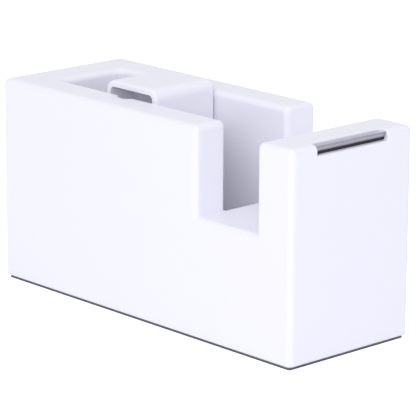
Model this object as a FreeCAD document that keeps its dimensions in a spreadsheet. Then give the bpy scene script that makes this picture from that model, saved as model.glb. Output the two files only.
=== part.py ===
"""Desk tape dispenser, in millimetres: a weighted block with a roll well and a front tower that
holds the cutting blade, and a lift-out carrier whose axle holds the tape roll.

+X is the front, where the tape leaves. +Z is up. The origin is the middle of the footprint, on the
surface the dispenser stands on."""

import FreeCAD, Part
import math
import os
import re

import Sketcher

SIZES = (
    ("body_length", 169.0, "rear face to front face"),
    ("body_width", 64.2, "side face to side face"),
    ("body_height", 84.6, "surface below to the top faces"),
    ("edge_radius", 2.5, "rounding of the outer edges"),
    ("wall_skin", 2.4, "thickness of the moulded walls"),
    ("rear_wall", 18.5, "rear face to the roll well"),
    ("well_width", 32.5, "between the side walls"),
    ("well_corner", 3.0, "rounding of the well's rear corners"),
    ("notch_floor", 49.0, "height of the step between well and tower"),
    ("notch_length", 33.2, "well to tower"),
    ("tower_length", 18.7, "tower, along the length"),
    ("pad_thickness", 1.2, "soft pad under the body"),
    ("pad_inset", 1.4, "pad edge, in from the body"),
    ("foot_radius", 1.2, "rounding of the body's bottom edge"),
    ("plate_thickness", 2.0, "base plate"),
    ("plate_gap", 0.25, "round the base plate"),
    ("boss_radius", 3.5, "screw bosses for the base plate"),
    ("boss_inset", 5.2, "boss centres, in from the outer side faces"),
    ("boss_setback", 7.5, "boss centres, in from the end faces"),
    ("boss_height", 16.0, "screw bosses above the plate"),
    ("screw_radius", 1.45, "shank of the base screws"),
    ("screw_head", 2.9, "head radius of the base screws"),
    ("screw_length", 12.0, "base screws, overall"),
    ("thread_gap", 0.05, "between a screw and its hole"),
    ("hole_gap", 0.2, "round a screw that passes through a hole"),
    ("sink_gap", 0.1, "round a countersunk head, and round the blade's pegs"),
    ("slot_width", 0.8, "screwdriver slot"),
    ("slot_depth", 0.6, "screwdriver slot"),
    ("plate_corner", 1.0, "rounding of the base plate's corners"),
    ("cut_past", 5.0, "how far a cutting shape runs past a face"),
    ("ballast_width", 43.0, "across the cast weights"),
    ("ballast_gap", 0.6, "round the cast weights"),
    ("ballast_screw_x", 12.0, "front weight's screw, behind the tower's rear face"),
    ("tower_headroom", 3.75, "between the front weight and the holder's screws"),
    ("rear_headroom", 4.2, "above the rear weight"),
    ("ballast_screw_spacing", 26.0, "between the two screws of a weight"),
    ("mouth_width", 37.4, "cutting mouth in the tower's top front edge"),
    ("mouth_depth", 4.5, "mouth, back from the front face"),
    ("mouth_drop", 4.15, "mouth, down from the top face"),
    ("mouth_corner", 0.5, "rounding of the mouth's corners"),
    ("mouth_lip", 0.8, "rounding of the mouth's rim"),
    ("blade_thickness", 0.5, "steel strip"),
    ("blade_length", 11.5, "flat of the strip, along the length"),
    ("blade_end_gap", 0.4, "each end of the blade in the mouth"),
    ("blade_setback", 0.8, "tooth tips, back from the front face"),
    ("blade_below", 0.6, "tooth tips, below the top face"),
    ("blade_lean", 0.8, "tooth tips, forward of the bend"),
    ("blade_bend", 0.4, "outside of the strip's bend"),
    ("tooth_pitch", 1.1, "between the blade's teeth"),
    ("tooth_depth", 0.9, "height of the teeth"),
    ("holder_depth", 8.0, "height of the blade holder's block"),
    ("holder_gap", 0.2, "between the holder and the walls"),
    ("flange_thickness", 2.4, "holder's screw flange"),
    ("flange_width", 54.0, "across the holder's screw flange"),
    ("holder_boss_radius", 3.0, "bosses that take the holder's screws"),
    ("holder_screw_spacing", 46.0, "between the holder's screws"),
    ("small_screw_radius", 1.1, "shank of the holder's and hanger's screws"),
    ("small_head_radius", 2.1, "their heads"),
    ("small_head_height", 1.5, "their heads"),
    ("small_screw_length", 7.0, "their shanks"),
    ("peg_radius", 1.0, "pegs that locate the blade"),
    ("peg_spacing", 24.0, "between the pegs"),
    ("axle_setback", 61.0, "axle, in from the rear face"),
    ("axle_height", 41.0, "axle above the surface below"),
    ("roll_radius", 30.0, "largest roll of tape"),
    ("roll_gap", 3.0, "below the largest roll"),
    ("axle_radius", 3.0, "steel pin"),
    ("guide_radius", 4.3, "round-nosed ends of the axle"),
    ("guide_gap", 0.5, "between a guide and its groove"),
    ("seat_gap", 0.1, "under a guide at rest"),
    ("cover_length", 30.0, "arch, along the length"),
    ("cover_rise", 4.6, "arch above the top faces"),
    ("cover_radius", 4.5, "arch's shoulders"),
    ("cover_skin", 2.5, "arch's walls"),
    ("cover_gap", 0.8, "between arch and side walls"),
    ("skirt_drop", 14.6, "arch's skirts below the top faces"),
    ("web_thickness", 2.2, "arch's inner web"),
    ("web_offset", 3.2, "web's near face, from the middle"),
    ("web_drop", 8.5, "web below the top faces"),
    ("rim_radius", 0.8, "rounding of the arch's ends"),
    ("hanger_thickness", 2.0, "pressed steel hanger"),
    ("hanger_width", 16.0, "hanger's leg"),
    ("hanger_gap", 1.05, "between leg and side wall"),
    ("hanger_drop", 3.6, "hanger's top face below the body's top faces"),
    ("hanger_flat", 20.0, "hanger's top, along the length"),
    ("hanger_web_gap", 0.4, "between the hanger and the arch's web"),
    ("hanger_screw_spacing", 12.0, "between the hanger's screws"),
    ("hanger_screw_y", 5.5, "hanger's screws, from the middle"),
    ("hub_radius", 12.55, "drum that takes a tape core"),
    ("hub_wall", 1.8, "drum's wall"),
    ("hub_near", 10.5, "drum's open end, from the middle"),
    ("hub_flange_radius", 17.0, "flange that stops the roll"),
    ("hub_flange_thickness", 1.7, "flange that stops the roll"),
    ("hub_end_gap", 0.6, "between flange and hanger"),
    ("hub_lead", 0.8, "chamfer at the drum's open end"),
    ("bush_radius", 4.5, "outside of the bushes"),
    ("bush_length", 6.0, "bushes"),
    ("running_gap", 0.05, "between axle and bush"),
    ("press_gap", 0.02, "round a pressed-in piece"),
    ("hub_boss_wall", 2.0, "drum's boss round the bushes"),
    ("rib_thickness", 1.4, "ribs between boss and drum"),
    ("rib_setback", 1.0, "ribs, in from the drum's open end"),
    ("washer_radius", 6.0, "drag washer"),
    ("washer_thickness", 0.5, "drag washer"),
    ("clip_radius", 4.9, "retaining clip"),
    ("clip_thickness", 0.8, "retaining clip"),
    ("clip_groove", 0.5, "depth of the clip's groove"),
    ("clip_gap", 0.15, "between drum and clip"),
    ("clip_mouth", 3.4, "opening of the clip"),
    ("pin_reach", 1.0, "axle, past the wall's inner face into each guide"),
    ("guide_shoulder", 0.9, "between the clip and the near guide"),
)
RIBS = 6

# Places worked out from the sizes, as expressions.
rear_x = "(0 - body_length / 2)"
front_x = "(body_length / 2)"
side_y = "(body_width / 2)"
well_y = "(well_width / 2)"
well_x = f"({rear_x} + rear_wall)"
tower_x = f"({front_x} - tower_length)"
notch_x = f"({tower_x} - notch_length)"
well_floor = "(axle_height - roll_radius - roll_gap)"
ceiling = "(body_height - wall_skin)"
plate_top = "(pad_thickness + plate_thickness)"
boss_x = f"({front_x} - boss_setback)"
boss_y = f"({side_y} - boss_inset)"
axle_x = f"({rear_x} + axle_setback)"
groove_radius = "(guide_radius + guide_gap)"
groove_z = "(axle_height + guide_gap - seat_gap)"
mouth_x = f"({front_x} - mouth_depth)"
mouth_z = "(body_height - mouth_drop)"
blade_z = f"({ceiling} - blade_thickness - thread_gap)"
blade_tip = f"({front_x} - blade_setback)"
tip_z = "(body_height - blade_below)"
blade_rise = f"({tip_z} - {blade_z})"
lean_slope = f"(blade_lean / {blade_rise})"
bend_x = f"({blade_tip} - blade_lean)"
blade_back = f"({bend_x} - blade_length)"
holder_bottom = f"({blade_z} - holder_depth)"
screw_hole_depth = "pad_thickness + screw_length + 1"
holder_flange_z = f"({holder_bottom} - flange_thickness)"
tower_ballast_top = f"({holder_flange_z} - small_head_height - tower_headroom)"
rear_ballast_top = f"({ceiling} - rear_headroom)"
hanger_seat = "(body_height - hanger_drop)"
hanger_under = f"({hanger_seat} - hanger_thickness)"
holder_front = f"({front_x} - wall_skin - holder_gap)"
holder_screw_x = f"(({tower_x} + {front_x}) / 2)"
cover_top = "(body_height + cover_rise)"
skirt_z = "(body_height - skirt_drop)"
cover_y = f"({well_y} - cover_gap)"
leg_out = f"({well_y} - hanger_gap)"
leg_in = f"({leg_out} - hanger_thickness)"
drum_end = f"({leg_in} - hub_end_gap)"
flange_y = f"({drum_end} - hub_flange_thickness)"
bore_radius = "(bush_radius + press_gap)"
clip_y = "(0 - hub_near - clip_gap)"
rear_weight_x = f"({rear_x} + rear_wall / 2)"
front_weight_x = f"({tower_x} - ballast_screw_x)"

doc = FreeCAD.newDocument("tape_dispenser")
sheet = doc.addObject("Spreadsheet::Sheet", "Sizes")
for row, (alias, number, note) in enumerate(SIZES, start=1):
    sheet.set(f"A{row}", alias)
    sheet.set(f"B{row}", str(number))
    sheet.setAlias(f"B{row}", alias)
    sheet.set(f"C{row}", note)
doc.recompute()

pieces = {}


def bind(thing, where, text):
    """Tie one property to the sheet; every size name in the text becomes a cell."""
    thing.setExpression(where, re.sub(r"[a-z]+(_[a-z]+)+", lambda word: "Sizes." + word.group(), text))


def place(thing, x, y, z):
    for axis, text in zip("xyz", (x, y, z)):
        bind(thing, f"Placement.Base.{axis}", text)


def box(name, low, high):
    """A block between two corners."""
    thing = doc.addObject("Part::Box", name)
    for side, start, end in zip(("Length", "Width", "Height"), low, high):
        bind(thing, side, f"({end}) - ({start})")
    place(thing, *low)
    return thing


def turned(kind, name, start, axis):
    """A primitive of revolution that starts at a point and runs along +Z, +Y or -Y."""
    thing = doc.addObject(kind, name)
    turn = {"+Z": 0, "-Z": 180, "+Y": -90, "-Y": 90}[axis]
    thing.Placement.Rotation = FreeCAD.Rotation(FreeCAD.Vector(1, 0, 0), turn)
    place(thing, *start)
    return thing


def rod(name, radius, start, length, axis="+Z"):
    thing = turned("Part::Cylinder", name, start, axis)
    bind(thing, "Radius", radius)
    bind(thing, "Height", length)
    return thing


def cone(name, first_radius, last_radius, start, length, axis="+Z"):
    thing = turned("Part::Cone", name, start, axis)
    bind(thing, "Radius1", first_radius)
    bind(thing, "Radius2", last_radius)
    bind(thing, "Height", length)
    return thing


def ball(name, radius, centre):
    thing = doc.addObject("Part::Sphere", name)
    bind(thing, "Radius", radius)
    place(thing, *centre)
    return thing


def fuse(name, *things):
    if len(things) == 1:
        return things[0]
    thing = doc.addObject("Part::MultiFuse", name)
    thing.Shapes = list(things)
    return thing


def cut(name, base, *tools):
    thing = doc.addObject("Part::Cut", name)
    thing.Base = base
    thing.Tool = fuse(name + "_tools", *tools)
    return thing


def group(name, things):
    thing = doc.addObject("Part::Compound", name)
    thing.Links = list(things)
    return thing


def size(alias):
    return float(sheet.get(alias))


def rounded(name, base, radius, wanted):
    """Round the edges that a test picks out by their shape."""
    doc.recompute()
    picked = [n for n, edge in enumerate(base.Shape.Edges, start=1) if wanted(edge)]
    if not picked:
        raise RuntimeError(name + " has no edge to round")
    thing = doc.addObject("Part::Fillet", name)
    thing.Base = base
    thing.Edges = [(n, radius, radius) for n in picked]
    return thing


def upright(edge):
    box_of_edge = edge.BoundBox
    return box_of_edge.XLength + box_of_edge.YLength < 1e-6


def at_height(edge, height):
    box_of_edge = edge.BoundBox
    return abs(box_of_edge.ZMin - height) + abs(box_of_edge.ZMax - height) < 1e-6


def outline_body(name, plane, points):
    """A body with one closed outline of straight lines; each corner is a pair of expressions."""
    body = doc.addObject("PartDesign::Body", name)
    sketch = body.newObject("Sketcher::SketchObject", name + "_outline")
    support = next(item for item in body.Origin.OriginFeatures if item.Role == plane)
    sketch.AttachmentSupport = (support, [""])
    sketch.MapMode = "FlatFace"
    count = len(points)
    ring = [
        FreeCAD.Vector(math.cos(math.tau * n / count), math.sin(math.tau * n / count), 0)
        for n in range(count)
    ]
    for n in range(count):
        sketch.addGeometry(Part.LineSegment(ring[n], ring[(n + 1) % count]), False)
    for n in range(count):
        sketch.addConstraint(Sketcher.Constraint("Coincident", n, 2, (n + 1) % count, 1))
    for n, pair in enumerate(points):
        for kind, text, start in zip(("DistanceX", "DistanceY"), pair, (ring[n].x, ring[n].y)):
            label = f"{kind}{n}"
            index = sketch.addConstraint(Sketcher.Constraint(kind, -1, 1, n, 1, start))
            sketch.renameConstraint(index, label)
            bind(sketch, f"Constraints.{label}", text)
    return body, sketch


def spun_body(name, points):
    """A body of revolution about the axle line; corners are pairs of place along Y and radius."""
    body, sketch = outline_body(name, "YZ_Plane", points)
    turn = body.newObject("PartDesign::Revolution", name + "_turned")
    turn.Profile = sketch
    turn.ReferenceAxis = (sketch, ["H_Axis"])
    turn.Angle = 360
    place(body, axle_x, "0", "axle_height")
    return body, turn


def pan_screw(name, x, y, seat):
    """A small screw whose head bears on the seat from below."""
    head = rod(f"{name}_head", "small_head_radius", (x, y, f"{seat} - small_head_height"),
               "small_head_height")
    shank = rod(f"{name}_shank", "small_screw_radius", (x, y, seat), "small_screw_length - thread_gap")
    return fuse(f"{name}_solid", head, shank)


def keep(name, thing, solids=1):
    """Name a finished piece."""
    thing.Label = name
    pieces[name] = (thing, solids)
    return thing


# ---- The body: one moulding, rounded outside, hollow from below --------------------------------
outer_low = (rear_x, f"0 - {side_y}", "pad_thickness")
well_tool = box(
    "well_tool",
    (well_x, f"0 - {well_y}", "0 - cut_past"),
    (notch_x, well_y, "body_height + cut_past"),
)
well_tool = rounded(
    "well_tool_corners", well_tool, size("well_corner"),
    lambda edge: upright(edge) and edge.CenterOfMass.x < 0,
)
rear_block = box("rear_block", outer_low, (notch_x, side_y, "body_height"))
rear_walls = cut("rear_walls", rear_block, well_tool)
doc.recompute()
wall_end = rear_walls.Shape.BoundBox.XMax
wall_start = rear_walls.Shape.BoundBox.XMin


def outer_edge(edge):
    """Top edges, and the upright ones at the block's own ends."""
    at_end = min(abs(edge.CenterOfMass.x - end) for end in (wall_start, wall_end)) < 1e-6
    return at_height(edge, size("body_height")) or (upright(edge) and at_end)


def not_under(edge):
    return edge.BoundBox.ZMax > size("pad_thickness") + 1e-6


walls = rounded("walls", rear_walls, size("edge_radius"), outer_edge)
tower_low = (tower_x, f"0 - {side_y}", "pad_thickness")
tower = rounded(
    "tower", box("tower_block", tower_low, (front_x, side_y, "body_height")),
    size("edge_radius"), not_under,
)
step = rounded(
    "step", box("step_block", outer_low, (front_x, side_y, "notch_floor")),
    size("edge_radius"), not_under,
)
solid_body = fuse("solid_body", walls, tower, step)
well_cut = box(
    "well_cut",
    (well_x, f"0 - {well_y}", well_floor),
    (notch_x, well_y, "body_height + cut_past"),
)
well_cut = rounded(
    "well_cut_corners", well_cut, size("well_corner"),
    lambda edge: upright(edge) and edge.CenterOfMass.x < 0,
)

inner_y = f"({side_y} - wall_skin)"
jacket_y = f"({well_y} + wall_skin)"
under = "(pad_thickness - cut_past)"
hollows = fuse(
    "hollows",
    box("hollow_low", (f"{rear_x} + wall_skin", f"0 - {inner_y}", under),
        (f"{front_x} - wall_skin", inner_y, "notch_floor - wall_skin")),
    box("hollow_rear", (f"{rear_x} + wall_skin", f"0 - {inner_y}", under),
        (f"{well_x} - wall_skin", inner_y, ceiling)),
    box("hollow_near", (f"{rear_x} + wall_skin", f"0 - {inner_y}", under),
        (f"{notch_x} - wall_skin", f"0 - {jacket_y}", ceiling)),
    box("hollow_far", (f"{rear_x} + wall_skin", jacket_y, under),
        (f"{notch_x} - wall_skin", inner_y, ceiling)),
    box("hollow_tower", (f"{tower_x} + wall_skin", f"0 - {inner_y}", under),
        (f"{front_x} - wall_skin", inner_y, ceiling)),
)
kept_inside = [
    box("well_jacket", (f"{well_x} - wall_skin", f"0 - {jacket_y}", f"{well_floor} - wall_skin"),
        (f"{notch_x} + wall_skin", jacket_y, "body_height"))
]
base_holes = []
holder_pilots = []
base_screw_spots = [
    (x, f"{side} * {boss_y}") for x in (f"0 - {boss_x}", "0", boss_x) for side in ("1", "(0 - 1)")
]
for n, (x, y) in enumerate(base_screw_spots):
    kept_inside.append(rod(f"boss_{n}", "boss_radius", (x, y, plate_top), "boss_height"))
    base_holes.append(
        rod(f"pilot_{n}", "screw_radius + thread_gap", (x, y, "0"), screw_hole_depth)
    )
for side, sign in (("near", "(0 - 1)"), ("far", "1")):
    kept_inside.append(
        rod(f"groove_jacket_{side}", f"{groove_radius} + wall_skin",
            (axle_x, f"{sign} * {well_y}", f"{groove_z} - {groove_radius} - wall_skin"), "body_height")
    )
    spot = (holder_screw_x, f"{sign} * holder_screw_spacing / 2", f"{holder_bottom}")
    kept_inside.append(rod(f"holder_boss_{side}", "holder_boss_radius", spot, "body_height"))
    holder_pilots.append(
        rod(f"holder_pilot_{side}", "small_screw_radius + thread_gap",
            (*spot[:2], f"{holder_bottom} - cut_past"),
            "small_screw_length - flange_thickness + cut_past")
    )
space = cut("space", hollows, *kept_inside)

grooves = []
for side, sign in (("near", "(0 - 1)"), ("far", "1")):
    middle = (axle_x, f"{sign} * {well_y}", groove_z)
    grooves.append(rod(f"groove_{side}", groove_radius, middle, "body_height"))
    grooves.append(ball(f"groove_end_{side}", groove_radius, middle))
mouth = box(
    "mouth", (mouth_x, "0 - mouth_width / 2", mouth_z),
    (f"{front_x} + cut_past", "mouth_width / 2", "body_height + cut_past")
)
doc.recompute()
mouth_rear, mouth_bottom = mouth.Shape.BoundBox.XMin, mouth.Shape.BoundBox.ZMin
mouth = rounded(
    "mouth_corners", mouth, size("mouth_corner"),
    lambda edge: (upright(edge) and edge.CenterOfMass.x < mouth_rear + 1e-6)
    or (edge.BoundBox.YLength < 1e-6 and at_height(edge, mouth_bottom)),
)
shell_cut = cut(
    "body_shell_cut", solid_body, well_cut, space, mouth, *grooves, *base_holes, *holder_pilots
)
half_mouth = size("mouth_width") / 2
top_z, front_face = size("body_height"), size("body_length") / 2


def mouth_rim(edge):
    """Edges where the mouth comes out of the top and front faces."""
    frame = edge.BoundBox
    inside = frame.XMin > mouth_rear - 1e-6 and max(abs(frame.YMin), abs(frame.YMax)) < half_mouth + 1e-6
    if not inside or frame.ZMin < mouth_bottom - 1e-6:
        return False
    middle = edge.valueAt((edge.FirstParameter + edge.LastParameter) / 2)
    on_top = abs(middle.z - top_z) < 1e-6
    on_front = abs(middle.x - front_face) < 1e-6
    bend = size("edge_radius")
    from_bend = math.hypot(middle.x - front_face + bend, middle.z - top_z + bend)
    return on_top or on_front or abs(from_bend - bend) < 1e-4


def foot_rim(edge):
    """The outer outline of the underside."""
    frame = edge.BoundBox
    reach = max(abs(frame.XMin), abs(frame.XMax)) > front_face - 1e-6
    reach = reach or max(abs(frame.YMin), abs(frame.YMax)) > size("body_width") / 2 - 1e-6
    return at_height(edge, size("pad_thickness")) and reach


shell_rim = rounded("body_shell_rim", shell_cut, size("mouth_lip"), mouth_rim)
body_shell = rounded("body_shell_foot", shell_rim, size("foot_radius"), foot_rim)
keep("body_shell", body_shell)

# ---- Underside: plate, pad, screws and cast weights -------------------------------------------
plate = rounded(
    "plate_corners",
    box("plate_block",
        (f"{rear_x} + wall_skin + plate_gap", f"0 - {inner_y} + plate_gap", "pad_thickness"),
        (f"{front_x} - wall_skin - plate_gap", f"{inner_y} - plate_gap", plate_top)),
    size("plate_corner"), upright,
)
weight_spots = [
    (x, f"{side} * ballast_screw_spacing / 2")
    for x in (rear_weight_x, front_weight_x) for side in ("(0 - 1)", "1")
]
head_depth = "(screw_head - screw_radius)"
plate_holes = []
for n, (x, y) in enumerate(base_screw_spots + weight_spots):
    plate_holes.append(
        rod(f"plate_hole_{n}", "screw_radius + hole_gap", (x, y, "0"), f"{plate_top} + cut_past")
    )
    plate_holes.append(
        cone(f"plate_sink_{n}", "screw_head + sink_gap", "screw_radius + sink_gap",
             (x, y, "pad_thickness"), head_depth)
    )
keep("base_plate", cut("base_plate_cut", plate, *plate_holes))


def sunk_screws(name, spots):
    """Countersunk screws that go up from under the plate."""
    screws = []
    for n, (x, y) in enumerate(spots):
        head = cone(f"{name}_head_{n}", "screw_head", "screw_radius", (x, y, "pad_thickness"), head_depth)
        shank = rod(f"{name}_shank_{n}", "screw_radius", (x, y, "pad_thickness"), "screw_length")
        slot = box(f"{name}_slot_{n}", (f"{x} - slot_width / 2", f"{y} - screw_head", "0"),
                   (f"{x} + slot_width / 2", f"{y} + screw_head", "pad_thickness + slot_depth"))
        screws.append(cut(f"{name}_{n}", fuse(f"{name}_solid_{n}", head, shank), slot))
    return keep(name, group(name + "_set", screws), solids=len(spots))


sunk_screws("base_plate_screws", base_screw_spots)
sunk_screws("ballast_screws", weight_spots)

base_pad = rounded(
    "pad_corners",
    box("pad_block", (f"{rear_x} + pad_inset", f"0 - {side_y} + pad_inset", "0"),
        (f"{front_x} - pad_inset", f"{side_y} - pad_inset", "pad_thickness")),
    size("edge_radius") - size("pad_inset"), upright,
)
keep("base_pad", base_pad)

low_front = (f"{notch_x} + wall_skin + ballast_gap", plate_top)
weight_front = f"{front_x} - wall_skin - ballast_gap"
weight_step = f"{tower_x} + wall_skin + ballast_gap"
weight_shelf = "notch_floor - wall_skin - ballast_gap"
front_weight, front_sketch = outline_body("front_weight", "XZ_Plane", [
    low_front,
    (weight_front, plate_top),
    (weight_front, tower_ballast_top),
    (weight_step, tower_ballast_top),
    (weight_step, weight_shelf),
    (low_front[0], weight_shelf),
])
front_pad = front_weight.newObject("PartDesign::Pad", "front_weight_pad")
front_pad.Profile = front_sketch
front_pad.Midplane = True
bind(front_pad, "Length", "ballast_width")
rear_weight = box(
    "rear_weight",
    (f"{rear_x} + wall_skin + ballast_gap", "0 - ballast_width / 2", plate_top),
    (f"{well_x} - wall_skin - ballast_gap", "ballast_width / 2", rear_ballast_top),
)
for name, weight, spots in (
    ("front_ballast", front_weight, weight_spots[2:]),
    ("rear_ballast", rear_weight, weight_spots[:2]),
):
    taps = [
        rod(f"{name}_tap_{n}", "screw_radius + thread_gap", (x, y, "0"), screw_hole_depth)
        for n, (x, y) in enumerate(spots)
    ]
    keep(name, cut(name + "_cut", weight, *taps))

# ---- Cutting blade and its holder --------------------------------------------------------------
blade_y = "(mouth_width / 2 - blade_end_gap)"
teeth = int((size("mouth_width") - 2 * size("blade_end_gap")) / size("tooth_pitch"))
tooth_span = f"(2 * {blade_y} / {teeth})"
lip_across = f"(blade_thickness * sqrt(1 + {lean_slope} ^ 2))"
blank_z = f"({tip_z} + tooth_depth)"
blank_x = f"({blade_tip} + tooth_depth * {lean_slope})"
strip_body, strip_sketch = outline_body("blade_strip", "XZ_Plane", [
    (blade_back, blade_z),
    (bend_x, blade_z),
    (blank_x, blank_z),
    (f"{blank_x} - {lip_across}", blank_z),
    (f"{bend_x} + blade_thickness * {lean_slope} - {lip_across}", f"{blade_z} + blade_thickness"),
    (blade_back, f"{blade_z} + blade_thickness"),
])
strip_pad = strip_body.newObject("PartDesign::Pad", "blade_strip_pad")
strip_pad.Profile = strip_sketch
bind(strip_pad, "Length", f"2 * {blade_y}")
place(strip_body, "0", blade_y, "0")
doc.recompute()
strip_under = strip_body.Shape.BoundBox.ZMin
bend_line = FreeCAD.Units.Quantity(str(strip_sketch.getDatum("DistanceX1"))).Value
bent_strip = rounded(
    "blade_bend_rounding", strip_body, size("blade_bend"),
    lambda edge: edge.BoundBox.XLength < 1e-6 and at_height(edge, strip_under)
    and abs(edge.CenterOfMass.x - bend_line) < 1e-6,
)
notch_points = [(f"0 - {blade_y}", f"{blank_z} + tooth_depth")]
for n in range(teeth):
    notch_points.append((f"0 - {blade_y} + {n} * {tooth_span}", f"{tip_z} - tooth_depth"))
    notch_points.append((f"0 - {blade_y} + {n + 0.5} * {tooth_span}", tip_z))
notch_points.append((blade_y, f"{tip_z} - tooth_depth"))
notch_points.append((blade_y, f"{blank_z} + tooth_depth"))
notch_body, notch_sketch = outline_body("tooth_gaps", "YZ_Plane", notch_points)
notch_pad = notch_body.newObject("PartDesign::Pad", "tooth_gaps_pad")
notch_pad.Profile = notch_sketch
bind(notch_pad, "Length", f"{front_x} - {mouth_x}")
place(notch_body, mouth_x, "0", "0")
peg_x = f"({mouth_x} - blade_length / 3)"
pegs = []
peg_holes = []
for side, sign in (("near", "(0 - 1)"), ("far", "1")):
    spot = (peg_x, f"{sign} * peg_spacing / 2", f"{blade_z} - 1")
    pegs.append(rod(f"peg_{side}", "peg_radius", spot, "1 + blade_thickness"))
    peg_holes.append(rod(f"peg_hole_{side}", "peg_radius + sink_gap", spot, "cut_past"))
keep("blade", cut("blade_cut", bent_strip, notch_body, *peg_holes))

holder_y = f"({blade_y} - thread_gap)"
holder_back = f"({tower_x} + wall_skin + holder_gap)"
holder_block = box("holder_block", (holder_back, f"0 - {holder_y}", holder_bottom),
                   (holder_front, holder_y, blade_z))
holder_flange = box("holder_flange", (holder_back, "0 - flange_width / 2", holder_flange_z),
                    (holder_front, "flange_width / 2", holder_bottom))
flange_holes = []
holder_screws = []
for side, sign in (("near", "(0 - 1)"), ("far", "1")):
    x, y = holder_screw_x, f"{sign} * holder_screw_spacing / 2"
    flange_holes.append(
        rod(f"flange_hole_{side}", "small_screw_radius + hole_gap", (x, y, f"{holder_flange_z} - 1"),
            "flange_thickness + 2")
    )
    holder_screws.append(pan_screw(f"holder_screw_{side}", x, y, holder_flange_z))
holder_solid = fuse("holder_solid", holder_block, holder_flange, *pegs)
keep("blade_holder", cut("blade_holder_cut", holder_solid, *flange_holes))
keep("holder_screws", group("holder_screw_set", holder_screws), solids=2)

# ---- Carrier: arch, hanger, axle and its guides -------------------------------------------------
cover_rear = f"({axle_x} - cover_length / 2)"
cover_front = f"({axle_x} + cover_length / 2)"
arch_block = rounded(
    "arch_block_shoulders",
    box("arch_block", (cover_rear, f"0 - {cover_y}", skirt_z), (cover_front, cover_y, cover_top)),
    size("cover_radius"),
    lambda edge: at_height(edge, size("body_height") + size("cover_rise")) and edge.BoundBox.XLength < 1e-6,
)
arch_hollow = rounded(
    "arch_hollow_shoulders",
    box("arch_hollow", (f"{cover_rear} + cover_skin", f"0 - {cover_y} - cut_past", f"{skirt_z} - cut_past"),
        (f"{cover_front} - cover_skin", f"{cover_y} + cut_past", f"{cover_top} - cover_skin")),
    size("cover_radius") - size("cover_skin"),
    lambda edge: edge.BoundBox.XLength < 1e-6 and edge.BoundBox.ZLength < 1e-6
    and edge.CenterOfMass.z > size("body_height"),
)
arch = cut("arch", arch_block, arch_hollow)
doc.recompute()
arch_end = arch.Shape.BoundBox.YMax


def arch_rim(edge):
    """The outer outline of either end of the arch, without its foot."""
    box_of_edge = edge.BoundBox
    middle = edge.CenterOfMass
    if box_of_edge.YLength > 1e-6 or abs(abs(middle.y) - arch_end) > 1e-6:
        return False
    outside = max(abs(middle.x - arch.Shape.BoundBox.XMin), 0) < size("cover_radius") * 0.6
    outside = outside or abs(middle.x - arch.Shape.BoundBox.XMax) < size("cover_radius") * 0.6
    outside = outside or abs(middle.z - arch.Shape.BoundBox.ZMax) < size("cover_radius") * 0.6
    inside = any(
        abs(vertex.Point.x - arch.Shape.BoundBox.XMin - size("cover_skin")) < 1e-6
        or abs(vertex.Point.x - arch.Shape.BoundBox.XMax + size("cover_skin")) < 1e-6
        or abs(vertex.Point.z - arch.Shape.BoundBox.ZMax + size("cover_skin")) < 1e-6
        for vertex in edge.Vertexes
    )
    return outside and not inside and not at_height(edge, arch.Shape.BoundBox.ZMin)


arch = rounded("arch_rims", arch, size("rim_radius"), arch_rim)
arch_top = f"({cover_top} - cover_skin)"
web = box("arch_web", (f"{cover_rear} + cover_skin / 2", "0 - web_offset", "body_height - web_drop"),
          (f"{cover_front} - cover_skin / 2", "web_thickness - web_offset", f"{cover_top} - cover_skin / 2"))
hanger_spots = [
    (f"{axle_x} + {side} * hanger_screw_spacing / 2", "hanger_screw_y") for side in ("(0 - 1)", "1")
]
arch_bosses = []
arch_pilots = []
hanger_holes = []
hanger_screws = []
for n, (x, y) in enumerate(hanger_spots):
    arch_bosses.append(
        rod(f"arch_boss_{n}", "boss_radius", (x, y, hanger_seat),
            f"{arch_top} - {hanger_seat} + cover_skin / 2")
    )
    arch_pilots.append(
        rod(f"arch_pilot_{n}", "small_screw_radius + thread_gap", (x, y, f"{hanger_seat} - 1"),
            "small_screw_length - hanger_thickness + 1")
    )
    hanger_holes.append(
        rod(f"hanger_hole_{n}", "small_screw_radius + hole_gap", (x, y, f"{hanger_under} - 1"),
            "hanger_thickness + 2")
    )
    hanger_screws.append(pan_screw(f"hanger_screw_{n}", x, y, hanger_under))
cover = cut("cover_cut", fuse("cover_solid", arch, web, *arch_bosses), *arch_pilots)
keep("cover", cover)
keep("hanger_screws", group("hanger_screw_set", hanger_screws), solids=2)

flat_low = f"{axle_x} - hanger_flat / 2"
hanger_start = "web_thickness - web_offset + hanger_web_gap"
hanger_top = box("hanger_top", (flat_low, hanger_start, hanger_under),
                 (f"{axle_x} + hanger_flat / 2", leg_out, hanger_seat))
hanger_leg = box("hanger_leg", (f"{axle_x} - hanger_width / 2", leg_in, "axle_height"),
                 (f"{axle_x} + hanger_width / 2", leg_out, hanger_seat))
hanger_foot = rod("hanger_foot", "hanger_width / 2", (axle_x, leg_in, "axle_height"),
                  "hanger_thickness", "+Y")
hanger_hole = rod("hanger_axle_hole", "axle_radius + press_gap", (axle_x, "0", "axle_height"),
                  f"{well_y} + cut_past", "+Y")
hanger = fuse("hanger_solid", hanger_top, hanger_leg, hanger_foot)
keep("hanger", cut("hanger_cut", hanger, hanger_hole, *hanger_holes))

far_pin_end = f"({well_y} + pin_reach)"
near_pin_end = f"(0 - {far_pin_end})"
groove_face = f"({clip_y} - clip_thickness)"
axle, axle_turn = spun_body("axle", [
    (near_pin_end, "0"),
    (near_pin_end, "axle_radius"),
    (f"{groove_face} - thread_gap", "axle_radius"),
    (f"{groove_face} - thread_gap", "axle_radius - clip_groove"),
    (f"{clip_y} + thread_gap", "axle_radius - clip_groove"),
    (f"{clip_y} + thread_gap", "axle_radius"),
    (far_pin_end, "axle_radius"),
    (far_pin_end, "0"),
])
keep("axle_pin", axle)


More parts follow.
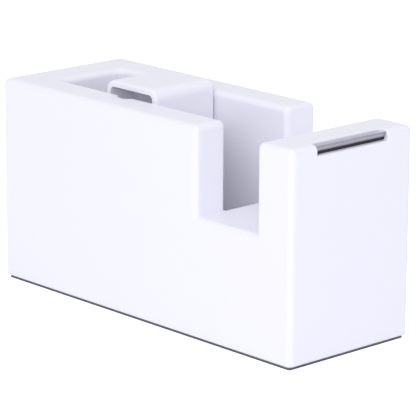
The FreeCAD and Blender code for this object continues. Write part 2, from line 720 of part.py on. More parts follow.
def guide(name, sign, length):
    """A round-nosed end that slides in a wall's groove."""
    centre = (axle_x, f"{sign} * {well_y}", "axle_height")
    toward = "+Y" if sign != "1" else "-Y"
    away = f"{sign} * ({well_y} + pin_reach)"
    nose = ball(f"{name}_nose", "guide_radius", centre)
    barrel = rod(f"{name}_barrel", "guide_radius", centre, length, toward)
    shoulder = f"({well_y} - {length})"
    across = ("0", shoulder) if sign == "1" else (f"(0 - {shoulder})", "0")
    wide = "(guide_radius + 1)"
    trim = box(f"{name}_trim", (f"{axle_x} - {wide}", across[0], f"axle_height - {wide}"),
               (f"{axle_x} + {wide}", across[1], f"axle_height + {wide}"))
    bore = rod(f"{name}_bore", "axle_radius + press_gap", (axle_x, away, "axle_height"),
               f"{well_y} + pin_reach", toward)
    return keep(name, cut(f"{name}_cut", fuse(f"{name}_solid", nose, barrel), trim, bore))


near_length = f"({well_y} - hub_near - clip_gap - clip_thickness - guide_shoulder)"
guide("guide_near", "(0 - 1)", near_length)
guide("guide_far", "1", "(hanger_gap - thread_gap)")

washer = rod("washer_disc", "washer_radius", (axle_x, leg_in, "axle_height"), "washer_thickness", "-Y")
washer_hole = rod("washer_hole", "axle_radius + running_gap", (axle_x, leg_out, "axle_height"),
                  f"{well_y}", "-Y")
keep("drag_washer", cut("drag_washer_cut", washer, washer_hole))

clip = rod("clip_disc", "clip_radius", (axle_x, clip_y, "axle_height"), "clip_thickness", "-Y")
clip_hole = rod("clip_hole", "axle_radius - clip_groove + press_gap", (axle_x, "0", "axle_height"),
                "hub_near + cut_past", "-Y")
clip_slot = box("clip_slot", (f"{axle_x} - clip_mouth / 2", "0 - hub_near - cut_past", "axle_height"),
                (f"{axle_x} + clip_mouth / 2", "0", "axle_height + clip_radius"))
keep("retaining_clip", cut("retaining_clip_cut", clip, clip_hole, clip_slot))

# ---- Hub: drum, ribs and bushes -----------------------------------------------------------------
boss_wall = f"({bore_radius} + hub_boss_wall)"
drum, drum_turn = spun_body("drum", [
    ("0 - hub_near", bore_radius),
    (drum_end, bore_radius),
    (drum_end, "hub_flange_radius"),
    (flange_y, "hub_flange_radius"),
    (flange_y, "hub_radius"),
    ("hub_lead - hub_near", "hub_radius"),
    ("0 - hub_near", "hub_radius - hub_lead"),
    ("0 - hub_near", "hub_radius - hub_wall"),
    (flange_y, "hub_radius - hub_wall"),
    (flange_y, boss_wall),
    ("0 - hub_near", boss_wall),
])
rib_root = f"({bore_radius} + hub_boss_wall / 2)"
ribs = []
for n in range(RIBS):
    rib = doc.addObject("Part::Box", f"rib_{n}")
    bind(rib, "Length", "rib_thickness")
    bind(rib, "Width", f"{flange_y} + hub_near - rib_setback")
    bind(rib, "Height", f"hub_radius - hub_wall / 2 - {rib_root}")
    turn = math.tau * n / RIBS
    rib.Placement.Rotation = FreeCAD.Rotation(FreeCAD.Vector(0, 1, 0), math.degrees(turn))
    up, across = math.cos(turn), math.sin(turn)
    place(rib, f"{axle_x} + {across:.9f} * {rib_root} - {up:.9f} * rib_thickness / 2",
          "rib_setback - hub_near",
          f"axle_height + {up:.9f} * {rib_root} + {across:.9f} * rib_thickness / 2")
    ribs.append(rib)
keep("hub_drum", fuse("hub_drum_solid", drum, *ribs))


def bush(name, start, axis):
    outside = rod(f"{name}_outside", "bush_radius", (axle_x, start, "axle_height"), "bush_length", axis)
    inside = rod(f"{name}_inside", "axle_radius + running_gap", (axle_x, f"0 - {well_y}", "axle_height"),
                 "well_width", "+Y")
    return keep(name, cut(f"{name}_cut", outside, inside))


bush("hub_bush_near", "0 - hub_near", "+Y")
bush("hub_bush_far", drum_end, "-Y")

# ---- Check every object, then write the pieces --------------------------------------------------
doc.recompute()
failed = [item.Name for item in doc.Objects if "Invalid" in item.State or "Error" in item.State]
if failed:
    raise RuntimeError("failed objects: " + ", ".join(failed))
os.makedirs("parts", exist_ok=True)
for name, (thing, solids) in sorted(pieces.items()):
    shape = thing.Shape
    if shape.isNull() or not shape.isValid():
        raise RuntimeError(name + " is not a valid shape")
    if len(shape.Solids) != solids:
        raise RuntimeError(f"{name} has {len(shape.Solids)} solids, not {solids}")
    shape.exportStep(f"parts/{name}.step")
    print(f"{name:20s} {shape.Volume / 1000:9.2f} cm3")
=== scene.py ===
"""White desk tape dispenser: finishes and fine shapes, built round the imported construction."""

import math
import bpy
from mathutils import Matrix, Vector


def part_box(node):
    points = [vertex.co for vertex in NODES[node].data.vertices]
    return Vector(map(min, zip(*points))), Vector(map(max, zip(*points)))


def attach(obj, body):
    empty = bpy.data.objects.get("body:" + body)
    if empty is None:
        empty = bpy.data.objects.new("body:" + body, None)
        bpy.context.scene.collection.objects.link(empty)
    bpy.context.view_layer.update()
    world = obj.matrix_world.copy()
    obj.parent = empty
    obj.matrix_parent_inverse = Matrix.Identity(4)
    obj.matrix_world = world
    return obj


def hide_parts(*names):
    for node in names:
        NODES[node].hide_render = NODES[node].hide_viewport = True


bl_info = {
    "name": "Desk tape dispenser",
    "version": (1, 0, 0),
    "blender": (4, 5, 0),
    "location": "View3D > Sidebar > Dispenser",
    "description": "Finishes and fine shapes of a weighted desk tape dispenser",
    "category": "Object",
}

import bmesh
import bpy
from bpy.props import FloatProperty, FloatVectorProperty, PointerProperty
from mathutils import Matrix, Vector

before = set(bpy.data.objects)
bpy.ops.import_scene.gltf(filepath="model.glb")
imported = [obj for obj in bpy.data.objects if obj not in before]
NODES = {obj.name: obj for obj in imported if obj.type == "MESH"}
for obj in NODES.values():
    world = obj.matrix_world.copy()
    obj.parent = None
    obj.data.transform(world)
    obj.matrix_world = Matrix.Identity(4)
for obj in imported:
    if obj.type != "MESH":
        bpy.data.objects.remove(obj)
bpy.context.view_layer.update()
MM = 0.001

# Facets and angles of the new meshes.
MERGE_DISTANCE = 0.002 * MM
FLAT_ANGLE = math.radians(1)  # faces that meet flatter than this are joined
EDGE_ANGLE = math.radians(50)  # edges sharper than this are broken
SMOOTH_ANGLE = math.radians(30)  # edges flatter than this are shaded smooth
EDGE_SEGMENTS = 2
BEND_STEPS = 6
TOOTH_SINK = 0.05 * MM  # how far each tooth reaches into the strip

# Refraction and marks that go with a kind of material.
ABS_IOR = 1.53
ACETAL_IOR = 1.48
RUBBER_IOR = 1.5
RUST_BROWN = "6B5547"
GRIND_STRETCH = 0.04

# The stage round the dispenser.
FLOOR_REACH = 3.0
FLOOR_WHITE = "F4F4F6"
FLOOR_GLOW = 0.62
SKY_WHITE = "FAFAFF"
KEY_PLACE = (0.92, -1.17, 0.75)
KEY_TARGET = (0, 0, 0.04)
KEY_SIZE = 0.9
VIEW_NEAR, VIEW_FAR = 0.05, 20


def linear(code):
    """A linear colour from an sRGB hex code."""
    parts = [int(code[n : n + 2], 16) / 255 for n in (0, 2, 4)]
    return tuple(p / 12.92 if p <= 0.04045 else ((p + 0.055) / 1.055) ** 2.4 for p in parts)


# ---- What a user would change -------------------------------------------------------------------
def colour(name, description, code):
    """A colour setting with a default from an sRGB hex code."""
    return FloatVectorProperty(
        name=name,
        description=description,
        subtype="COLOR",
        size=3,
        min=0,
        max=1,
        default=linear(code),
    )


def length(name, description, millimetres):
    """A length setting with a default in millimetres."""
    return FloatProperty(
        name=name,
        description=description,
        unit="LENGTH",
        precision=5,
        min=0,
        default=millimetres * MM,
    )


def angle(name, description, degrees):
    """An angle setting with a default in degrees."""
    return FloatProperty(
        name=name, description=description, unit="ROTATION", default=math.radians(degrees)
    )


class DispenserFinish(bpy.types.PropertyGroup):
    """Colours and surface sizes of the dispenser."""

    body_white: colour("Body white", "Moulded body and arch", "F3F3FC")
    hub_white: colour("Hub white", "Drum and guides", "E9E9EA")
    pad_grey: colour("Pad grey", "Soft pad underneath", "6A6A72")
    dark_plastic: colour("Dark plastic", "Blade holder and base plate", "2A2422")
    blade_steel: colour("Blade steel", "Ground stainless strip", "9C9AA6")
    zinc: colour("Zinc", "Plated steel parts", "C4C6C8")
    iron: colour("Iron", "Cast weights", "5A5856")
    mould_grain: length("Mould grain", "Grain of the moulded surfaces", 0.9)
    foam_cell: length("Foam cell", "Cells of the soft pad", 0.7)
    grind_line: length("Grinding line", "Spacing of the marks on the blade", 0.25)


class DispenserDetail(bpy.types.PropertyGroup):
    """Sizes of the small shapes."""

    tooth_pitch: length("Tooth pitch", "Between the blade's teeth", 1.1)
    tooth_depth: length("Tooth depth", "Height of the teeth", 0.9)
    tip_thickness: length("Tip thickness", "Blade at its tooth tips", 0.12)
    strip_thickness: length("Strip thickness", "Steel of the blade", 0.5)
    lip_lean: length("Lean", "Tooth tips, forward of the bend", 0.8)
    bend_radius: length("Bend radius", "Outside of the blade's bend", 0.8)
    soft_edge: length("Soft edge", "Broken edges of the steel parts", 0.35)
    pad_edge: length("Pad edge", "Rounding of the cut pad", 0.15)


class DispenserStage(bpy.types.PropertyGroup):
    """Camera and light."""

    camera_place: FloatVectorProperty(
        name="Camera",
        description="Where the camera stands",
        unit="LENGTH",
        default=(0.7509, -0.6903, 0.3126),
    )
    heading: angle("Heading", "Direction of view in plan", 137.63)
    tilt: angle("Tilt", "Below the horizon", 14.916)
    roll: angle("Roll", "About the line of sight", 0.175)
    lens: FloatProperty(name="Lens", description="Focal length", unit="CAMERA", default=229.7)
    shift: FloatVectorProperty(
        name="Shift",
        description="Sideways and upward shift of the lens",
        size=2,
        default=(0.0443, -0.0013),
    )
    sky_low: FloatProperty(name="Sky at the horizon", description="Strength", min=0, default=0.57)
    sky_high: FloatProperty(name="Sky overhead", description="Strength", min=0, default=0.96)
    key: FloatProperty(name="Key light", description="Power", unit="POWER", min=0, default=9.2)


# ---- Helpers ------------------------------------------------------------------------------------
def add(tree, kind, inputs=None, **settings):
    """Add one node: settings are its own properties, inputs are values or sockets to link."""
    made = tree.nodes.new(kind)
    for name, value in settings.items():
        setattr(made, name, value)
    for key, value in (inputs or {}).items():
        if isinstance(value, bpy.types.NodeSocket):
            tree.links.new(value, made.inputs[key])
        else:
            made.inputs[key].default_value = value
    return made


def empty_tree(owner):
    """The node tree of a material or world, with nothing in it."""
    owner.use_nodes = True
    owner.node_tree.nodes.clear()
    return owner.node_tree


def new_material(name, inputs=None):
    """A material with its shader set by the inputs; also its tree, shader and coordinates."""
    made = bpy.data.materials.new(name)
    tree = empty_tree(made)
    shader = add(tree, "ShaderNodeBsdfPrincipled", inputs)
    add(tree, "ShaderNodeOutputMaterial", {"Surface": shader.outputs["BSDF"]})
    where = add(tree, "ShaderNodeTexCoord").outputs["Object"]
    return made, tree, shader, where


def noise(tree, vector, size, detail=2.0):
    """Noise between 0 and 1 whose features are of the given size."""
    inputs = {"Vector": vector, "Scale": 1 / size, "Detail": detail}
    return add(tree, "ShaderNodeTexNoise", inputs).outputs["Fac"]


def rings(tree, vector, size, distortion):
    """Waves between 0 and 1 along Y, about 0.63 times the given size apart."""
    inputs = {"Vector": vector, "Scale": 0.5 / size, "Distortion": distortion}
    return add(tree, "ShaderNodeTexWave", inputs, bands_direction="Y").outputs["Fac"]


def between(tree, factor, low, high):
    """A number between two limits, set by a factor from 0 to 1."""
    inputs = {"Value": factor, "To Min": low, "To Max": high}
    return add(tree, "ShaderNodeMapRange", inputs).outputs["Result"]


def shade(base, factor):
    """A colour made darker or lighter."""
    return [min(part * factor, 1) for part in base]


def two_tone(tree, factor, first, second):
    """A colour between two others, set by a factor from 0 to 1."""
    inputs = {"Factor": factor, "A": (*first, 1), "B": (*second, 1)}
    return add(tree, "ShaderNodeMix", inputs, data_type="RGBA").outputs["Result"]


def mottle(tree, vector, base, size, spread, detail=2.0):
    """The base colour, varied a little by noise."""
    pattern = noise(tree, vector, size, detail)
    return two_tone(tree, pattern, shade(base, 1 - spread), shade(base, 1 + spread))


def vary(tree, vector, size, low, high):
    """A number between two limits, varied by noise."""
    return between(tree, noise(tree, vector, size, detail=3.0), low, high)


def relief(tree, shader, height, depth, strength):
    """Bump from a height between 0 and 1."""
    bump = add(tree, "ShaderNodeBump", {"Height": height, "Distance": depth, "Strength": strength})
    tree.links.new(bump.outputs["Normal"], shader.inputs["Normal"])


def paint(thing, material):
    """Give a piece one material in place of what it has."""
    thing.data.materials.clear()
    thing.data.materials.append(material)
    return thing


def paint_nodes(material, *names):
    """Give construction nodes their material."""
    for name in names:
        paint(NODES[name], material)


def smooth(mesh):
    """Shade a mesh smooth, apart from its sharp edges."""
    mesh.polygons.foreach_set("use_smooth", [True] * len(mesh.polygons))
    mesh.set_sharp_from_angle(angle=SMOOTH_ANGLE)


def place(name, data):
    """A new object in the scene: a piece, a lamp or the camera."""
    thing = bpy.data.objects.new(name, data)
    bpy.context.scene.collection.objects.link(thing)
    return thing


def settle(thing):
    """Turn a piece and its modifiers into a plain mesh."""
    graph = bpy.context.evaluated_depsgraph_get()
    mesh = bpy.data.meshes.new_from_object(thing.evaluated_get(graph))
    thing.modifiers.clear()
    thing.data = mesh


def finish_piece(thing, body, node):
    """The piece moves with a body and stands for a construction node, which is hidden."""
    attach(thing, body)
    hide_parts(node)


def softened(node, name, width):
    """A copy of a construction node with its edges broken."""
    mesh = NODES[node].data.copy()
    work = bmesh.new()
    work.from_mesh(mesh)
    bmesh.ops.remove_doubles(work, verts=work.verts, dist=MERGE_DISTANCE)
    bmesh.ops.dissolve_limit(work, angle_limit=FLAT_ANGLE, verts=work.verts, edges=work.edges)
    work.to_mesh(mesh)
    work.free()
    thing = place(name, mesh)
    bevel = thing.modifiers.new("Edges", "BEVEL")
    bevel.width = width
    bevel.segments = EDGE_SEGMENTS
    bevel.limit_method = "ANGLE"
    bevel.angle_limit = EDGE_ANGLE
    settle(thing)
    smooth(thing.data)
    return thing


def node_tree(name, sockets):
    """A Geometry Nodes tree with named inputs; returns the tree and its group input node."""
    tree = bpy.data.node_groups.new(name, "GeometryNodeTree")
    tree.interface.new_socket("Geometry", in_out="INPUT", socket_type="NodeSocketGeometry")
    for label, kind in sockets:
        tree.interface.new_socket(label, in_out="INPUT", socket_type="NodeSocket" + kind)
    tree.interface.new_socket("Geometry", in_out="OUTPUT", socket_type="NodeSocketGeometry")
    return tree, add(tree, "NodeGroupInput")


def close_tree(tree, parts, material):
    """Join the parts, realise them and give them the material."""
    join = add(tree, "GeometryNodeJoinGeometry")
    for part in parts:
        tree.links.new(part, join.inputs["Geometry"])
    real = add(tree, "GeometryNodeRealizeInstances", {"Geometry": join.outputs["Geometry"]})
    inputs = {"Geometry": real.outputs["Geometry"], "Material": material}
    dressed = add(tree, "GeometryNodeSetMaterial", inputs)
    add(tree, "NodeGroupOutput", {"Geometry": dressed.outputs["Geometry"]})


def grow(thing, tree, values):
    """Run a tree on a piece with the given inputs and keep the plain mesh."""
    modifier = thing.modifiers.new(tree.name, "NODES")
    modifier.node_group = tree
    for item in tree.interface.items_tree:
        if item.in_out == "INPUT" and item.name in values:
            modifier[item.identifier] = values[item.name]
    settle(thing)


# ---- Materials ----------------------------------------------------------------------------------
def satin_abs(look):
    """White ABS, injection moulded in a lightly blasted tool: even satin, broad highlights."""
    made, tree, shader, where = new_material("satin_white_abs", {"IOR": ABS_IOR})
    tone = mottle(tree, where, look.body_white, size=45 * MM, spread=0.006)
    tree.links.new(tone, shader.inputs["Base Color"])
    gloss = vary(tree, where, size=6 * MM, low=0.34, high=0.42)
    tree.links.new(gloss, shader.inputs["Roughness"])
    # The real grain is about 0.05 mm; it is drawn coarser so that it shows.
    grain = noise(tree, where, look.mould_grain)
    relief(tree, shader, grain, depth=0.02 * MM, strength=0.25)
    return made


def hub_abs(look):
    """Off-white ABS moulded in a plain tool: matt, a little warmer than the body."""
    made, tree, shader, where = new_material("matt_hub_abs", {"IOR": ABS_IOR})
    tone = mottle(tree, where, look.hub_white, size=12 * MM, spread=0.015)
    tree.links.new(tone, shader.inputs["Base Color"])
    gloss = vary(tree, where, size=3 * MM, low=0.45, high=0.58)
    tree.links.new(gloss, shader.inputs["Roughness"])
    grain = noise(tree, where, look.mould_grain)
    relief(tree, shader, grain, depth=0.03 * MM, strength=0.3)
    return made


def milky_acetal(look):
    """Natural acetal, turned: milky, slightly translucent and waxy."""
    made, tree, shader, where = new_material("natural_acetal", {
        "Roughness": 0.3,
        "IOR": ACETAL_IOR,
        "Subsurface Weight": 0.15,
        "Subsurface Scale": 1.5 * MM,
    })
    tone = mottle(tree, where, look.hub_white, size=4 * MM, spread=0.02)
    tree.links.new(tone, shader.inputs["Base Color"])
    marks = rings(tree, where, size=0.4 * MM, distortion=0.5)
    relief(tree, shader, marks, depth=0.02 * MM, strength=0.2)
    return made


def foam_rubber(look):
    """Closed-cell EVA foam, die cut: dull, dark grey, with fine cells along the cut edge."""
    made, tree, shader, where = new_material("closed_cell_foam", {
        "Roughness": 0.9,
        "IOR": RUBBER_IOR,
        "Specular IOR Level": 0.2,
    })
    tone = mottle(tree, where, look.pad_grey, size=1.5 * MM, spread=0.12)
    tree.links.new(tone, shader.inputs["Base Color"])
    cells = add(tree, "ShaderNodeTexVoronoi", {"Vector": where, "Scale": 1 / look.foam_cell})
    relief(tree, shader, cells.outputs["Distance"], depth=0.15 * MM, strength=0.6)
    return made


def dark_acetal(look):
    """Near-black acetal, moulded: low sheen with a fine even grain."""
    made, tree, shader, where = new_material("dark_acetal", {"IOR": ACETAL_IOR})
    tone = mottle(tree, where, look.dark_plastic, size=5 * MM, spread=0.08)
    tree.links.new(tone, shader.inputs["Base Color"])
    gloss = vary(tree, where, size=2 * MM, low=0.4, high=0.55)
    tree.links.new(gloss, shader.inputs["Roughness"])
    grain = noise(tree, where, look.mould_grain)
    relief(tree, shader, grain, depth=0.03 * MM, strength=0.3)
    return made


def ground_steel(look):
    """Stainless strip, ground along its length: fine parallel marks and a streaky gloss."""
    made, tree, shader, where = new_material("ground_stainless", {"Metallic": 1.0})
    # The marks run along Y, so the noise is stretched that way.
    along = add(tree, "ShaderNodeMapping", {"Vector": where, "Scale": (1.0, GRIND_STRETCH, 1.0)})
    marks = noise(tree, along.outputs["Vector"], look.grind_line, detail=3.0)
    tone = two_tone(tree, marks, shade(look.blade_steel, 0.86), shade(look.blade_steel, 1.1))
    tree.links.new(tone, shader.inputs["Base Color"])
    gloss = between(tree, marks, low=0.26, high=0.42)
    tree.links.new(gloss, shader.inputs["Roughness"])
    relief(tree, shader, marks, depth=0.01 * MM, strength=0.4)
    return made


def zinc_plate(look):
    """Zinc-plated steel: pale, faintly mottled, with light handling marks."""
    made, tree, shader, where = new_material("zinc_plated_steel", {"Metallic": 1.0})
    tone = mottle(tree, where, look.zinc, size=3 * MM, spread=0.07, detail=4.0)
    tree.links.new(tone, shader.inputs["Base Color"])
    gloss = vary(tree, where, size=2.5 * MM, low=0.28, high=0.45)
    tree.links.new(gloss, shader.inputs["Roughness"])
    skin = noise(tree, where, size=0.8 * MM)
    relief(tree, shader, skin, depth=0.01 * MM, strength=0.25)
    return made


def turned_steel(look):
    """Zinc-plated pin, turned: fine rings round the axle."""
    made, tree, shader, where = new_material("turned_steel", {"Metallic": 1.0, "Roughness": 0.3})
    tone = mottle(tree, where, look.zinc, size=2 * MM, spread=0.05)
    tree.links.new(tone, shader.inputs["Base Color"])
    # Real turning marks are about 0.1 mm apart; these are about 0.2 mm apart so that they show.
    marks = rings(tree, where, size=0.3 * MM, distortion=0.4)
    relief(tree, shader, marks, depth=0.01 * MM, strength=0.5)
    return made


def cast_iron(look):
    """Grey iron, sand cast and left bare: grainy, dark, with a brown bloom."""
    made, tree, shader, where = new_material(
        "sand_cast_iron", {"Metallic": 0.6, "Roughness": 0.75}
    )
    bloom = noise(tree, where, size=14 * MM, detail=5.0)
    tone = two_tone(tree, bloom, look.iron, linear(RUST_BROWN))
    tree.links.new(tone, shader.inputs["Base Color"])
    sand = noise(tree, where, size=0.9 * MM, detail=4.0)
    relief(tree, shader, sand, depth=0.25 * MM, strength=0.8)
    return made


# ---- Pieces -------------------------------------------------------------------------------------
class DISPENSER_OT_body(bpy.types.Operator):
    """Finish the moulded body and the arch over the well"""

    bl_idname = "dispenser.body"
    bl_label = "Body and arch"

    def execute(self, context):
        paint_nodes(satin_abs(context.scene.dispenser_finish), "body_shell", "cover")
        return {"FINISHED"}


class DISPENSER_OT_pad(bpy.types.Operator):
    """Make the soft pad and finish the base plate"""

    bl_idname = "dispenser.pad"
    bl_label = "Pad and base plate"

    def execute(self, context):
        look, detail = context.scene.dispenser_finish, context.scene.dispenser_detail
        pad = paint(softened("base_pad", "foam_pad", detail.pad_edge), foam_rubber(look))
        finish_piece(pad, "body", "base_pad")
        paint_nodes(dark_acetal(look), "base_plate")
        return {"FINISHED"}


def tooth_row_tree():
    """Teeth set out along a line, joined to the strip."""
    tree, given = node_tree("tooth_row", (
        ("Count", "Int"),
        ("Pitch", "Float"),
        ("Start", "Vector"),
        ("Tooth", "Object"),
        ("Material", "Material"),
    ))
    step = add(tree, "ShaderNodeCombineXYZ", {"Y": given.outputs["Pitch"]})
    row = add(tree, "GeometryNodeMeshLine", {
        "Count": given.outputs["Count"],
        "Start Location": given.outputs["Start"],
        "Offset": step.outputs["Vector"],
    })
    shape = add(tree, "GeometryNodeObjectInfo", {"Object": given.outputs["Tooth"]})
    teeth = add(tree, "GeometryNodeInstanceOnPoints", {
        "Points": row.outputs["Mesh"],
        "Instance": shape.outputs["Geometry"],
    })
    parts = (given.outputs["Geometry"], teeth.outputs["Instances"])
    close_tree(tree, parts, given.outputs["Material"])
    return tree


def prism(name, outline, start, end):
    """A solid with one XZ outline, run along Y between two places."""
    count = len(outline)
    points = [(x, y, z) for y in (start, end) for x, z in outline]
    sides = [(n, n + count, (n + 1) % count + count, (n + 1) % count) for n in range(count)]
    caps = [tuple(range(count)), tuple(range(2 * count - 1, count - 1, -1))]
    mesh = bpy.data.meshes.new(name)
    mesh.from_pydata(points, [], sides + caps)
    return place(name, mesh)


def bent_strip(low, high, detail):
    """The blade without teeth; also the teeth's root and the lip's ways up and back, in XZ."""
    thick, radius = detail.strip_thickness, detail.bend_radius
    # The lip stands on the strip's front end and leans forward.
    bend = Vector((high.x - detail.lip_lean, low.z))
    rise = Vector((high.x, high.z)) - bend
    up = rise.normalized()
    back = Vector((-up.y, up.x))
    root = bend + rise - up * detail.tooth_depth
    turn = math.atan2(up.y, up.x)
    middle = Vector((bend.x - radius * math.tan(turn / 2), low.z + radius))
    angles = [turn * n / BEND_STEPS for n in range(BEND_STEPS + 1)]
    rays = [Vector((math.sin(ray), -math.cos(ray))) for ray in angles]
    outline = [
        Vector((low.x, low.z)),
        *(middle + radius * ray for ray in rays),
        root,
        root + back * thick,
        *(middle + (radius - thick) * ray for ray in reversed(rays)),
        Vector((low.x, low.z + thick)),
    ]
    return prism("toothed_blade", outline, low.y, high.y), root, up, back


def single_tooth(pitch, up, back, detail):
    """One tooth, with the middle of its root at the origin."""
    half = pitch / 2
    foot = up * -TOOTH_SINK
    foot_back = foot + back * detail.strip_thickness
    tip = up * detail.tooth_depth
    tip_back = tip + back * detail.tip_thickness
    points = [
        (foot.x, -half, foot.y),
        (foot.x, half, foot.y),
        (foot_back.x, half, foot_back.y),
        (foot_back.x, -half, foot_back.y),
        (tip.x, 0, tip.y),
        (tip_back.x, 0, tip_back.y),
    ]
    faces = [(0, 3, 2, 1), (0, 1, 4), (2, 3, 5), (0, 4, 5, 3), (1, 2, 5, 4)]
    mesh = bpy.data.meshes.new("tooth")
    mesh.from_pydata(points, [], faces)
    return place("tooth", mesh)


def face_outward(mesh):
    """Turn every face of a closed mesh outward."""
    work = bmesh.new()
    work.from_mesh(mesh)
    bmesh.ops.recalc_face_normals(work, faces=work.faces)
    work.to_mesh(mesh)
    work.free()


class DISPENSER_OT_blade(bpy.types.Operator):
    """Make the bent, toothed blade and finish its holder"""

    bl_idname = "dispenser.blade"
    bl_label = "Blade and holder"

    def execute(self, context):
        look, detail = context.scene.dispenser_finish, context.scene.dispenser_detail
        low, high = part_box("blade")
        blade, root, up, back = bent_strip(low, high, detail)
        count = int((high.y - low.y) / detail.tooth_pitch)
        pitch = (high.y - low.y) / count
        tooth = single_tooth(pitch, up, back, detail)
        steel = ground_steel(look)
        grow(blade, tooth_row_tree(), {
            "Count": count,
            "Pitch": pitch,
            "Start": (root.x, low.y + pitch / 2, root.y),
            "Tooth": tooth,
            "Material": steel,
        })
        bpy.data.objects.remove(tooth)
        face_outward(blade.data)
        smooth(paint(blade, steel).data)
        finish_piece(blade, "body", "blade")
        paint_nodes(dark_acetal(look), "blade_holder")
        return {"FINISHED"}


class DISPENSER_OT_carrier(bpy.types.Operator):
    """Break the hanger's edges and finish the steel parts and guides of the carrier"""

    bl_idname = "dispenser.carrier"
    bl_label = "Carrier"

    def execute(self, context):
        look, detail = context.scene.dispenser_finish, context.scene.dispenser_detail
        zinc = zinc_plate(look)
        hanger = paint(softened("hanger", "pressed_hanger", detail.soft_edge), zinc)
        finish_piece(hanger, "carrier", "hanger")
        paint_nodes(zinc, "retaining_clip", "drag_washer", "hanger_screws")
        paint_nodes(turned_steel(look), "axle_pin")
        paint_nodes(milky_acetal(look), "guide_near", "guide_far")
        return {"FINISHED"}


class DISPENSER_OT_hub(bpy.types.Operator):
    """Finish the drum and its bushes"""

    bl_idname = "dispenser.hub"
    bl_label = "Hub"

    def execute(self, context):
        look = context.scene.dispenser_finish
        paint_nodes(hub_abs(look), "hub_drum")
        paint_nodes(milky_acetal(look), "hub_bush_near", "hub_bush_far")
        return {"FINISHED"}


class DISPENSER_OT_weights(bpy.types.Operator):
    """Finish the cast weights and the screws"""

    bl_idname = "dispenser.weights"
    bl_label = "Weights and screws"

    def execute(self, context):
        look = context.scene.dispenser_finish
        paint_nodes(cast_iron(look), "front_ballast", "rear_ballast")
        paint_nodes(zinc_plate(look), "base_plate_screws", "ballast_screws", "holder_screws")
        return {"FINISHED"}


# ---- Stage --------------------------------------------------------------------------------------
def seen_directly(tree):
    """1 where the camera sees it, also in a reflection or through glass."""
    rays = add(tree, "ShaderNodeLightPath").outputs
    seen = rays["Is Camera Ray"]
    for other in ("Is Glossy Ray", "Is Transmission Ray"):
        either = add(tree, "ShaderNodeMath", {0: seen, 1: rays[other]}, operation="MAXIMUM")
        seen = either.outputs["Value"]
    return seen


def make_floor():
    """A white floor that stays white to the camera and darkens only under the object."""
    reach = FLOOR_REACH
    mesh = bpy.data.meshes.new("floor")
    corners = [(-reach, -reach, 0), (reach, -reach, 0), (reach, reach, 0), (-reach, reach, 0)]
    mesh.from_pydata(corners, [], [(0, 1, 2, 3)])
    floor = place("floor", mesh)
    made = bpy.data.materials.new("studio_floor")
    tree = empty_tree(made)
    diffuse = add(tree, "ShaderNodeBsdfDiffuse", {"Color": (*linear(FLOOR_WHITE), 1)})
    glow = add(tree, "ShaderNodeEmission", {"Strength": FLOOR_GLOW})
    lit = add(tree, "ShaderNodeAddShader", {
        0: diffuse.outputs["BSDF"],
        1: glow.outputs["Emission"],
    })
    mixed = add(tree, "ShaderNodeMixShader", {
        "Fac": seen_directly(tree),
        1: diffuse.outputs["BSDF"],
        2: lit.outputs["Shader"],
    })
    add(tree, "ShaderNodeOutputMaterial", {"Surface": mixed.outputs["Shader"]})
    paint(floor, made)


def make_sky(stage):
    """A sky of even colour, stronger overhead, which the camera sees as plain white."""
    world = bpy.data.worlds.new("studio")
    bpy.context.scene.world = world
    tree = empty_tree(world)
    direction = add(tree, "ShaderNodeTexCoord").outputs["Generated"]
    height = add(tree, "ShaderNodeSeparateXYZ", {0: direction}).outputs["Z"]
    soft = add(tree, "ShaderNodeBackground", {
        "Color": (*linear(SKY_WHITE), 1),
        "Strength": between(tree, height, stage.sky_low, stage.sky_high),
    })
    white = add(tree, "ShaderNodeBackground", {"Strength": 1.0})
    mixed = add(tree, "ShaderNodeMixShader", {
        "Fac": seen_directly(tree),
        1: soft.outputs["Background"],
        2: white.outputs["Background"],
    })
    add(tree, "ShaderNodeOutputWorld", {"Surface": mixed.outputs["Shader"]})


def make_lamp(power):
    """One large soft lamp that faces the object and leaves no reflection of itself."""
    data = bpy.data.lights.new("key", "AREA")
    data.shape = "SQUARE"
    data.size = KEY_SIZE
    data.energy = power
    lamp = place("key", data)
    lamp.location = KEY_PLACE
    aim = Vector(KEY_TARGET) - Vector(KEY_PLACE)
    lamp.rotation_euler = aim.to_track_quat("-Z", "Y").to_euler()
    lamp.visible_glossy = False


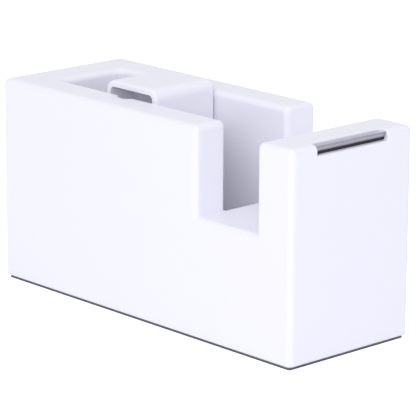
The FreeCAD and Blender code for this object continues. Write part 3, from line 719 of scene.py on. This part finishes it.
def make_camera(stage):
    """The camera, placed and turned by the stage settings."""
    data = bpy.data.cameras.new("camera")
    data.lens = stage.lens
    data.shift_x, data.shift_y = stage.shift
    data.clip_start, data.clip_end = VIEW_NEAR, VIEW_FAR
    camera = place("camera", data)
    turn = (
        Matrix.Rotation(stage.heading - math.pi / 2, 4, "Z")
        @ Matrix.Rotation(math.pi / 2 - stage.tilt, 4, "X")
        @ Matrix.Rotation(stage.roll, 4, "Z")
    )
    camera.matrix_world = Matrix.Translation(stage.camera_place) @ turn
    bpy.context.scene.camera = camera


class DISPENSER_OT_stage(bpy.types.Operator):
    """Set up the floor, the light and the camera"""

    bl_idname = "dispenser.stage"
    bl_label = "Stage"

    def execute(self, context):
        stage = context.scene.dispenser_stage
        context.scene.view_settings.view_transform = "Standard"
        make_floor()
        make_sky(stage)
        make_lamp(stage.key)
        make_camera(stage)
        return {"FINISHED"}


# ---- Panel and registration ---------------------------------------------------------------------
OPERATORS = (
    DISPENSER_OT_stage,
    DISPENSER_OT_body,
    DISPENSER_OT_pad,
    DISPENSER_OT_blade,
    DISPENSER_OT_carrier,
    DISPENSER_OT_hub,
    DISPENSER_OT_weights,
)
GROUPS = {
    "dispenser_finish": DispenserFinish,
    "dispenser_detail": DispenserDetail,
    "dispenser_stage": DispenserStage,
}


class DISPENSER_PT_panel(bpy.types.Panel):
    """Lists the dispenser's sizes, colours and steps"""

    bl_label = "Tape dispenser"
    bl_idname = "DISPENSER_PT_panel"
    bl_space_type = "VIEW_3D"
    bl_region_type = "UI"
    bl_category = "Dispenser"

    def draw(self, context):
        for name, group in GROUPS.items():
            column = self.layout.column(align=True)
            for key in group.__annotations__:
                column.prop(getattr(context.scene, name), key)
        for operator in OPERATORS:
            self.layout.operator(operator.bl_idname)


def register():
    for cls in (*GROUPS.values(), *OPERATORS, DISPENSER_PT_panel):
        bpy.utils.register_class(cls)
    for name, group in GROUPS.items():
        setattr(bpy.types.Scene, name, PointerProperty(type=group))


def unregister():
    for name in GROUPS:
        delattr(bpy.types.Scene, name)
    for cls in (DISPENSER_PT_panel, *reversed(OPERATORS), *reversed(GROUPS.values())):
        bpy.utils.unregister_class(cls)


def main():
    register()
    for operator in OPERATORS:
        group, name = operator.bl_idname.split(".")
        getattr(getattr(bpy.ops, group), name)()


if __name__ == "__main__":
    main()
